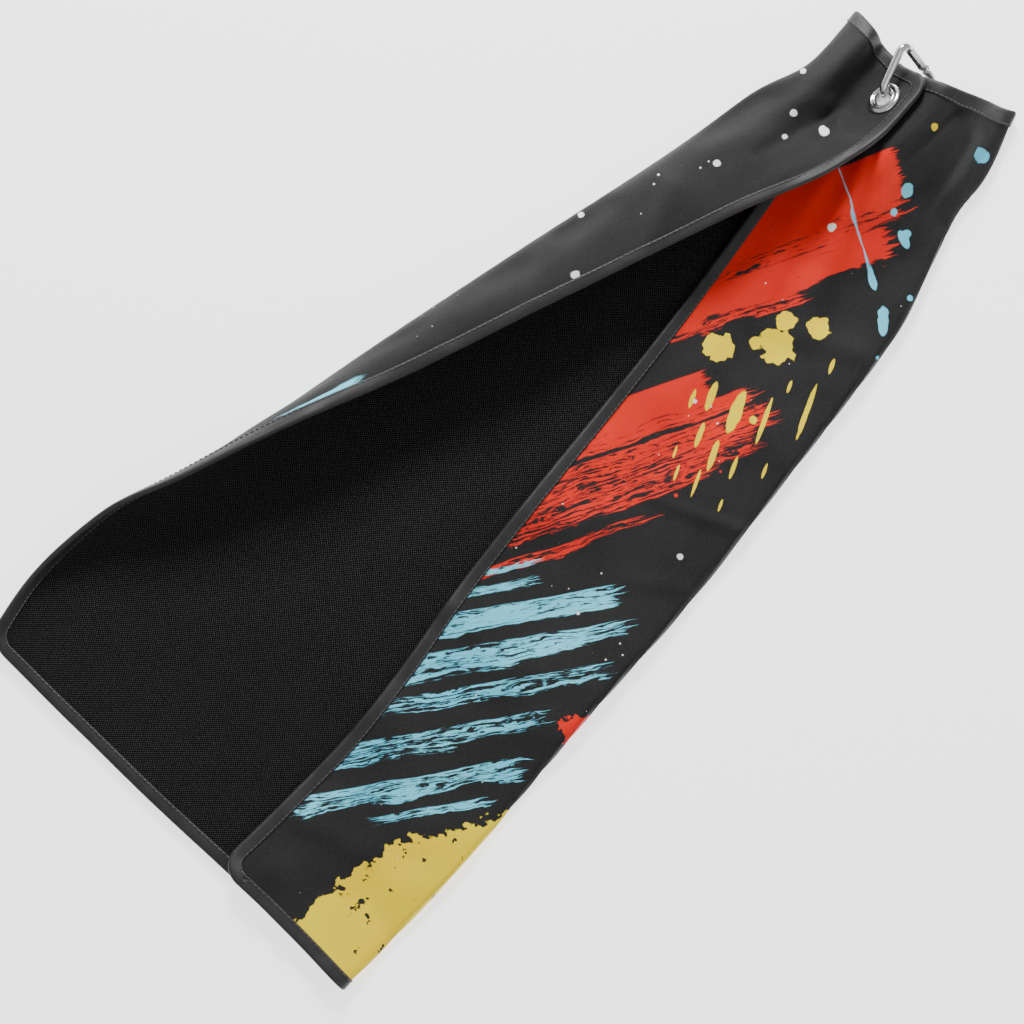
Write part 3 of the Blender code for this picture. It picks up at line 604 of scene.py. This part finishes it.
class Brush:
    """Paint strokes that all run at one heading, dry along their own direction."""

    def __init__(self, finish, place, heading, seed):
        turn = math.radians(heading)
        self.cos, self.sin = math.cos(turn), math.sin(turn)
        x, y = place
        self.along = x * self.cos + y * self.sin
        self.across = y * self.cos - x * self.sin
        wide = finish.vector(self.along * 0.03, self.across * 0.11, seed)
        self.wander = finish.noise(wide, 1.0) - 0.5
        self.across = self.across + self.wander * 9
        hairs = finish.vector(self.along * 0.022, self.across * 0.85, seed + 7)
        self.hairs = finish.noise(hairs, 1.0, 4.0, 0.7)
        blots = finish.vector(self.along * 0.13, self.across * 0.6, seed + 11)
        self.blots = finish.noise(blots, 1.0, 4.0, 0.65) - 0.5

    def stroke(self, start, end, half_width, dry):
        ends = [(x * self.cos + y * self.sin, y * self.cos - x * self.sin) for x, y in (start, end)]
        middle = (ends[0][1] + ends[1][1]) / 2
        ragged = self.hairs * 60 - 30
        body = (half_width + self.wander * half_width * 0.9 - abs(self.across - middle)).rise(0, 0.8)
        begun = (self.along - ends[0][0] + ragged * (0.3 + dry)).rise(-1, 1)
        going = (ends[1][0] - self.along + ragged * (0.3 + dry)).rise(-1, 1)
        threshold = 0.18 + 0.36 * dry
        worn = (self.hairs + self.wander * 0.25 + self.blots * 0.8 * dry).rise(threshold, threshold + 0.05)
        return body * begun * going * worn


def any_of(masks):
    """The strongest of several masks."""
    total = masks[0]
    for mask in masks[1:]:
        total = total.most(mask)
    return total


def disc(place, wobble, x, y, radius):
    """A round splash whose edge is pushed in and out by wobble."""
    over, up = place[0] - x, place[1] - y
    distance = (over * over + up * up).root()
    return (radius + wobble * radius * 1.2 - distance).rise(0, 0.7)


def drop(place, wobble, x, y, length, width, heading):
    """A run of paint drawn out along a heading."""
    cos, sin = math.cos(math.radians(heading)), math.sin(math.radians(heading))
    along = ((place[0] - x) * cos + (place[1] - y) * sin) / length
    across = ((place[1] - y) * cos - (place[0] - x) * sin) / width
    away = along * along + across * across
    return (1 + wobble - away).rise(0, 0.25)


def beyond(place, start, end):
    """Distance to the right of a line from start to end."""
    run = Vector(end) - Vector(start)
    run.normalize()
    return (place[0] - start[0]) * run.y - (place[1] - start[1]) * run.x


# The print, in millimetres about the towel, with headings in degrees.
# Strokes have two ends, half width and dryness.
RED_HEADING, BLUE_HEADING, FLICK_HEADING, LEFT_HEADING = 60, 51, -30, 69
RED_STROKES = [
    ((-24, 168), (37, 278), 14, 0.02), ((-6, 132), (57, 249), 9, 0.28), ((2, 64), (35, 124), 9, 0.14),
    ((-2, 40), (58, 132), 5, 0.55), ((-2, 16), (74, 132), 7, 0.72), ((-2, -6), (78, 112), 6, 0.78),
    ((2, -22), (66, 84), 4.5, 0.84), ((4, -36), (62, 40), 3, 0.8), ((-16, 150), (50, 264), 7, 0.6),
    ((-6, 112), (40, 192), 4, 0.74)]
BLUE_STROKES = [
    ((10, -76), (72, 2), 6, 0.66), ((12, -104), (88, -10), 6, 0.72), ((10, -130), (98, -38), 5, 0.84),
    ((10, -112), (54, -66), 3, 0.8), ((14, -152), (92, -82), 5, 0.86), ((12, -192), (101, -112), 6, 0.76),
    ((14, -172), (60, -122), 3, 0.84), ((52, -172), (98, -134), 3, 0.8), ((8, -52), (34, -22), 3, 0.8),
    ((8, -38), (28, -12), 2, 0.75)]
BLUE_FLICK = ((12, 257), (62, 229), 0.9, 0.0)
LEFT_FLAP_STROKE = ((-126, -44), (-106, -2), 4.5, 0.62)
# Splashes have a centre, radius and raggedness.
RED_SPLASHES = [(107, -67, 9, 2.0), (20, 84, 2.2, 1.0), (62, 66, 1.4, 1.0), (72, 92, 1.1, 1.0)]
BLUE_SPLASHES = [(66, 317, 4.4, 1.0), (48, 274, 3.6, 1.0), (50, 261, 2.2, 1.0), (63, 257, 2.8, 1.0),
                 (88, 232, 1.8, 1.0), (96, 196, 1.4, 1.0), (82, 216, 3.6, 1.0)]
YELLOW_SPLASHES = [(26, 143, 8.5, 1.2), (50, 164, 9.5, 1.4), (45, 178, 6.5, 1.2), (61, 187, 6.5, 1.2),
                   (40, 158, 3.6, 1.0), (67, 125, 2.6, 1.0), (36, 308, 2.2, 1.0)]
WHITE_SPLASHES = [(-58.6, 119, 2.9, 1.0), (-78, 147, 2.0, 1.0), (-8, 268, 3.2, 1.0), (-22, 251, 1.9, 1.0),
                  (-27, 264, 2.2, 1.0), (-38, 286, 2.0, 1.0), (-40, 215, 2.2, 1.0), (-60, 190, 1.0, 1.0),
                  (30, 232, 2.6, 1.0), (36, 112, 1.4, 1.0), (86, 42, 2.2, 1.0), (64, -18, 1.4, 1.0)]
# Drips have a centre, half length, half width and heading.
BLUE_DRIPS = [(66, 226, 6, 2.2, -30), (85, 213, 9, 3, -48), (64, 254, 6, 2.6, -20)]
YELLOW_DRIPS = [
    (41, 120, 9, 2.2, -69), (57, 122, 13, 3.6, -69), (50, 100, 8, 1.6, -69), (72, 128, 15, 1.4, -69),
    (86, 148, 17, 1.6, -69), (63, 96, 9, 1.8, -69), (34, 112, 6, 1.3, -69), (76, 98, 7, 1.2, -69),
    (66, 78, 9, 1.0, -69), (80, 176, 5, 1.2, -69), (54, 76, 5, 0.9, -69), (90, 108, 5, 1.0, -69),
    (46, 84, 4, 0.8, -69), (70, 152, 4, 1.0, -69), (84, 78, 4, 0.8, -69)]
# The yellow pool lies to the right of this line.
POOL_EDGE = [(54, -256), (72, -177), (109, -127)]
# The red and blue print lies beyond this flat place across the cloth, apart from LEFT_FLAP_STROKE.
PRINT_DIVIDE = 205


def printed_finish():
    """Charcoal brushed cloth with a paint-splash print."""
    finish = Finish("printed_cloth_look")
    spot, (x, y, _) = finish.place()
    flat, (u, v, _) = finish.flat()
    place = (x, y)
    wobble = finish.noise(spot, 0.16, 1.5) - 0.5
    rough_edge = finish.noise(spot, 0.5, 5.0, 0.7) - 0.5

    def strokes(heading, seed, rows):
        brush = Brush(finish, place, heading, seed)
        return any_of([brush.stroke(*row) for row in rows])

    def splashes(rows):
        return any_of([disc(place, wobble * ragged, *row) for *row, ragged in rows])

    def drips(rows):
        return any_of([drop(place, wobble, *row) for row in rows])

    right_flap = u.rise(PRINT_DIVIDE, PRINT_DIVIDE + 1)
    red = any_of([strokes(RED_HEADING, 1.0, RED_STROKES), splashes(RED_SPLASHES)]) * right_flap
    blue = any_of([strokes(BLUE_HEADING, 4.0, BLUE_STROKES), strokes(FLICK_HEADING, 3.0, [BLUE_FLICK]),
                   splashes(BLUE_SPLASHES), drips(BLUE_DRIPS)]) * right_flap
    blue = blue.most(strokes(LEFT_HEADING, 6.0, [LEFT_FLAP_STROKE]))
    low, corner, high = POOL_EDGE
    side = beyond(place, low, corner).least(beyond(place, corner, high))
    holes = finish.noise(spot, 0.11, 4.0, 0.6) + rough_edge * 0.1
    pool = (side + rough_edge * 4 + wobble * 18).rise(0, 0.8) * (1 - holes.rise(0.645, 0.655))
    yellow = any_of([pool, splashes(YELLOW_SPLASHES), drips(YELLOW_DRIPS)])

    cells = finish.node("ShaderNodeTexVoronoi", {}, {"Vector": spot, "Scale": 0.13}, "Distance")
    chance = finish.noise(spot, 0.03, 2.0)
    tiny = (0.085 * chance.rise(0.42, 0.7) - cells).rise(0, 0.012)
    specks = tiny.most(splashes(WHITE_SPLASHES))

    grain = finish.noise(flat, 1.1, 4.0, 0.8)
    heather = finish.noise(finish.vector(u * 0.35, v * 1.5), 1.0, 3.0, 0.8)
    worn = finish.noise(spot, 0.02, 3.0)
    tone = (grain * 0.6 + heather * 0.4 + worn * 0.15 - 0.075).rise(0.36, 0.66)
    cloth = finish.mix(tone, linear("#070708"), linear("#242425"))
    paint_tone = (grain * 0.7 + worn * 0.6 - 0.15).rise(0.3, 0.75)
    colour = cloth
    for mask, dark, light in (
            (red * 0.97, (0.72, 0.006, 0.0, 1), (0.92, 0.022, 0.0, 1)),
            (blue * 0.95, (0.10, 0.62, 0.86, 1), (0.24, 0.84, 1.0, 1)),
            (yellow * 0.97, (1.0, 0.66, 0.0, 1), (1.0, 0.84, 0.0, 1))):
        colour = finish.mix(mask, colour, finish.mix(paint_tone, dark, light))
    colour = finish.mix(specks, colour, linear("#f4f4f4"))
    knit = (u * (2 * math.pi / 0.9)).sine() * (v * (2 * math.pi / 0.7)).sine()
    height = knit * 0.5 + grain * 1.4
    return finish.shade(Base_Color=colour, Roughness=0.50 + grain * 0.2,
                        Normal=finish.bump(height, 0.2 * MM, 0.8), Sheen_Weight=0.06, Sheen_Roughness=0.4,
                        Specular_IOR_Level=0.3)


def textured_finish():
    """Black waffle-woven microfibre."""
    finish = Finish("textured_cloth_look")
    flat, (u, v, _) = finish.flat()
    sway = finish.noise(flat, 0.25, 2.0) - 0.5
    ribs = ((u + sway * 0.8) * (2 * math.pi / 1.7)).sine()
    rows = ((v + sway * 0.8) * (2 * math.pi / 1.5)).sine()
    weave = ribs * rows
    fluff = finish.noise(flat, 1.6, 4.0, 0.75)
    glint = (weave * 0.45 + fluff * 1.1).rise(0.6, 1.05)
    colour = finish.mix(glint, (0.0012, 0.0012, 0.0013, 1), (0.09, 0.09, 0.093, 1))
    height = weave * 0.6 + fluff * 0.8
    return finish.shade(Base_Color=colour, Roughness=0.85 + fluff * 0.15,
                        Normal=finish.bump(height, 0.8 * MM, 1.0), Sheen_Weight=0.02, Sheen_Roughness=0.6,
                        Specular_IOR_Level=0.12)


def tape_finish():
    """Satin grosgrain tape, its fine ribs across its length."""
    finish = Finish("binding_tape_look")
    flat, (run, inset, _) = finish.flat()
    ribs = (run * (2 * math.pi / 0.8)).sine()
    threads = finish.noise(finish.vector(run * 0.25, inset * 3.0), 1.0, 3.0, 0.7)
    scuffs = finish.noise(flat, 0.12, 4.0)
    tone = (ribs * 0.12 + threads * 0.5 + scuffs * 0.5).rise(0.25, 0.8)
    colour = finish.mix(tone, linear("#080809"), linear("#242426"))
    return finish.shade(Base_Color=colour, Roughness=0.40 + threads * 0.2,
                        Normal=finish.bump(ribs * 0.4 + threads * 0.8, 0.15 * MM, 0.6),
                        Sheen_Weight=0.08, Sheen_Roughness=0.35)


def thread_finish():
    """Dark twisted thread."""
    finish = Finish("seam_thread_look")
    spot, _ = finish.place()
    twist = finish.noise(spot, 2.5, 3.0)
    colour = finish.mix(twist.rise(0.3, 0.7), linear("#2a2a2b"), linear("#58585a"))
    return finish.shade(Base_Color=colour, Roughness=0.45 + twist * 0.25,
                        Normal=finish.bump(twist, 0.1 * MM, 0.5), Sheen_Weight=0.2)


def metal_finish(name, colour, roughness, scratches):
    """Plated metal with fine rubbed scratches and faint smudges."""
    finish = Finish(name)
    spot, (x, y, z) = finish.place()
    lines = finish.noise(finish.vector(x * 0.5, y * 5.0, z * 5.0), 1.0, 4.0, 0.7)
    smudge = finish.noise(spot, 0.35, 4.0, 0.6)
    tone = (lines * 0.5 + smudge * 0.5).rise(0.3, 0.7)
    shade = finish.mix(tone, tuple(0.84 * part for part in colour) + (1,), tuple(colour) + (1,))
    return finish.shade(Base_Color=shade, Metallic=1.0,
                        Roughness=roughness + smudge.rise(0.35, 0.75) * 0.12 + lines * 0.05,
                        Normal=finish.bump(lines, scratches * MM, 0.5))


# --------------------------------------------------------------------- the towel

printed = printed_finish()
textured = textured_finish()
tape = tape_finish()
thread = thread_finish()
plated = metal_finish("carabiner_metal_look", (0.80, 0.80, 0.81), 0.12, 0.01)
ring_metal = metal_finish("grommet_metal_look", (0.83, 0.83, 0.83), 0.10, 0.01)
steel = metal_finish("spring_metal_look", (0.62, 0.62, 0.64), 0.25, 0.02)

face = make_cloth("face_cloth_folds", LAYER_START, FACE_THICKNESS, printed)
back = make_cloth("back_cloth_folds", -LAYER_START, BACK_THICKNESS, textured)
tape_profile = [(inset * MM, height * MM) for inset, height in [
    (7.1, 0.72), (7.0, 1.1), (6.4, 1.22), (5.2, 1.26), (3.2, 1.45), (1.2, 1.5), (0.2, 1.42),
    (-0.5, 1.05), (-0.85, 0.45), (-0.9, -0.3), (-0.75, -1.0), (-0.3, -1.55), (0.6, -1.85), (2.4, -1.9),
    (4.4, -1.8), (5.4, -1.62), (6.4, -1.6), (7.0, -1.5), (7.1, -1.2), (4.0, -1.2), (-0.2, -1.2),
    (-0.2, 0.7), (4.0, 0.7)]]
binding = sweep("edge_binding_tape", tape_profile, CLOTH_STEP, tape)
needle = make_stitches("needle_stitches", NEEDLE_HEIGHT, thread)
bobbin = make_stitches("bobbin_stitches", BOBBIN_HEIGHT, thread)

seat = 0.95
flange = (bead(7.9, seat, 2.0, 1.55) + bead(5.9, seat + 0.15, 0.9, 1.25, 40, 180, 8)
          + [(5.0, -10.6), (5.4, -11.6), (6.6, -11.9), (7.2, -11.2), (6.6, -10.8), (5.6, -10.7),
             (5.6, seat)])
eyelet = make_turned("grommet_eyelet_ring", flange, grommet_axes(), ring_metal)

corners = [(-11.3, 28.0, 0), (-17.5, 28.0, 3.6), (-6.0, 2.1, 7.0), (25.5, 2.1, 8.0), (25.5, 28.0, 8.0),
           (9.2, 28.0, 0)]
carabiner_axes = grommet_axes() @ Matrix.Rotation(math.pi / 2, 4, "Y")
wire = make_wire("carabiner_wire", rounded_path(corners), WIRE_RADIUS, carabiner_axes, plated)
tang_path = [Vector((9.3, 28.0)), Vector((6.5, 28.0)), Vector((5.0, 28.0))]
tang = make_wire("carabiner_tang", tang_path, TANG_RADIUS, carabiner_axes, plated, 16)

riders = {"towel": [face, back, binding, needle, bobbin, eyelet], "carabiner": [wire, tang]}
for body, pieces in riders.items():
    for piece in pieces:
        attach(piece, body)
stands_for = [(face, "face_cloth", "printed_cloth"), (back, "back_cloth", "textured_cloth"),
              (binding, "edge_binding", "binding_tape"), (needle, "needle_thread", "seam_thread"),
              (bobbin, "bobbin_thread", "seam_thread"), (eyelet, "grommet_eyelet", "grommet_metal"),
              (wire, "carabiner_frame", "carabiner_metal")]
for piece, node, slot in stands_for:
    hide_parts(node)
for node, finish in {"carabiner_gate": plated, "grommet_washer": ring_metal, "gate_rivet": steel,
                     "gate_spring": steel}.items():
    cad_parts[node].data.materials[0] = finish


# -------------------------------------------------------------------- the stage

def make_floor():
    """A pale floor that glows a little, so that it reads as near white."""
    finish = Finish("floor_look")
    spot = finish.node("ShaderNodeTexCoord", {}, {}, "Object")
    mottle = finish.noise(spot, 3.0, 2.0)
    colour = finish.mix(mottle, (0.90, 0.90, 0.90, 1), (0.93, 0.93, 0.93, 1))
    made = finish.shade(Base_Color=colour, Roughness=0.9, Specular_IOR_Level=0.1,
                        Emission_Color=(1, 1, 1, 1), Emission_Strength=1.7)
    reach = 4.0
    corners = [(-reach, -reach, 0), (reach, -reach, 0), (reach, reach, 0), (-reach, reach, 0)]
    return to_object("floor", corners, [(0, 1, 2, 3)], made)


floor = make_floor()


def add_light(name, place, size, energy, aim):
    """A square soft light that faces aim."""
    data = bpy.data.lights.new(name, "AREA")
    data.size = size
    data.energy = energy
    made = bpy.data.objects.new(name, data)
    made.location = place
    made.rotation_euler = (Vector(aim) - Vector(place)).to_track_quat("-Z", "Y").to_euler()
    bpy.context.scene.collection.objects.link(made)
    return made


CENTRE = Vector((SHIFT[0], SHIFT[1], 0))
add_light("key", CENTRE + Vector((-1.0, 1.15, 0.95)), 0.5, 54, CENTRE)
add_light("fill", CENTRE + Vector((0.9, -0.5, 1.6)), 1.2, 5, CENTRE)

world = bpy.data.worlds.new("studio")
bpy.context.scene.world = world
world.use_nodes = True
world.node_tree.nodes["Background"].inputs["Color"].default_value = (1, 1, 1, 1)
world.node_tree.nodes["Background"].inputs["Strength"].default_value = 0.5

lens = bpy.data.cameras.new("front")
lens.lens = 100
lens.sensor_width = 36
camera = bpy.data.objects.new("front", lens)
camera.location = (SHIFT[0], SHIFT[1], CAMERA_HEIGHT)
camera.rotation_euler = (0, 0, math.radians(41))
bpy.context.scene.collection.objects.link(camera)
bpy.context.scene.camera = camera
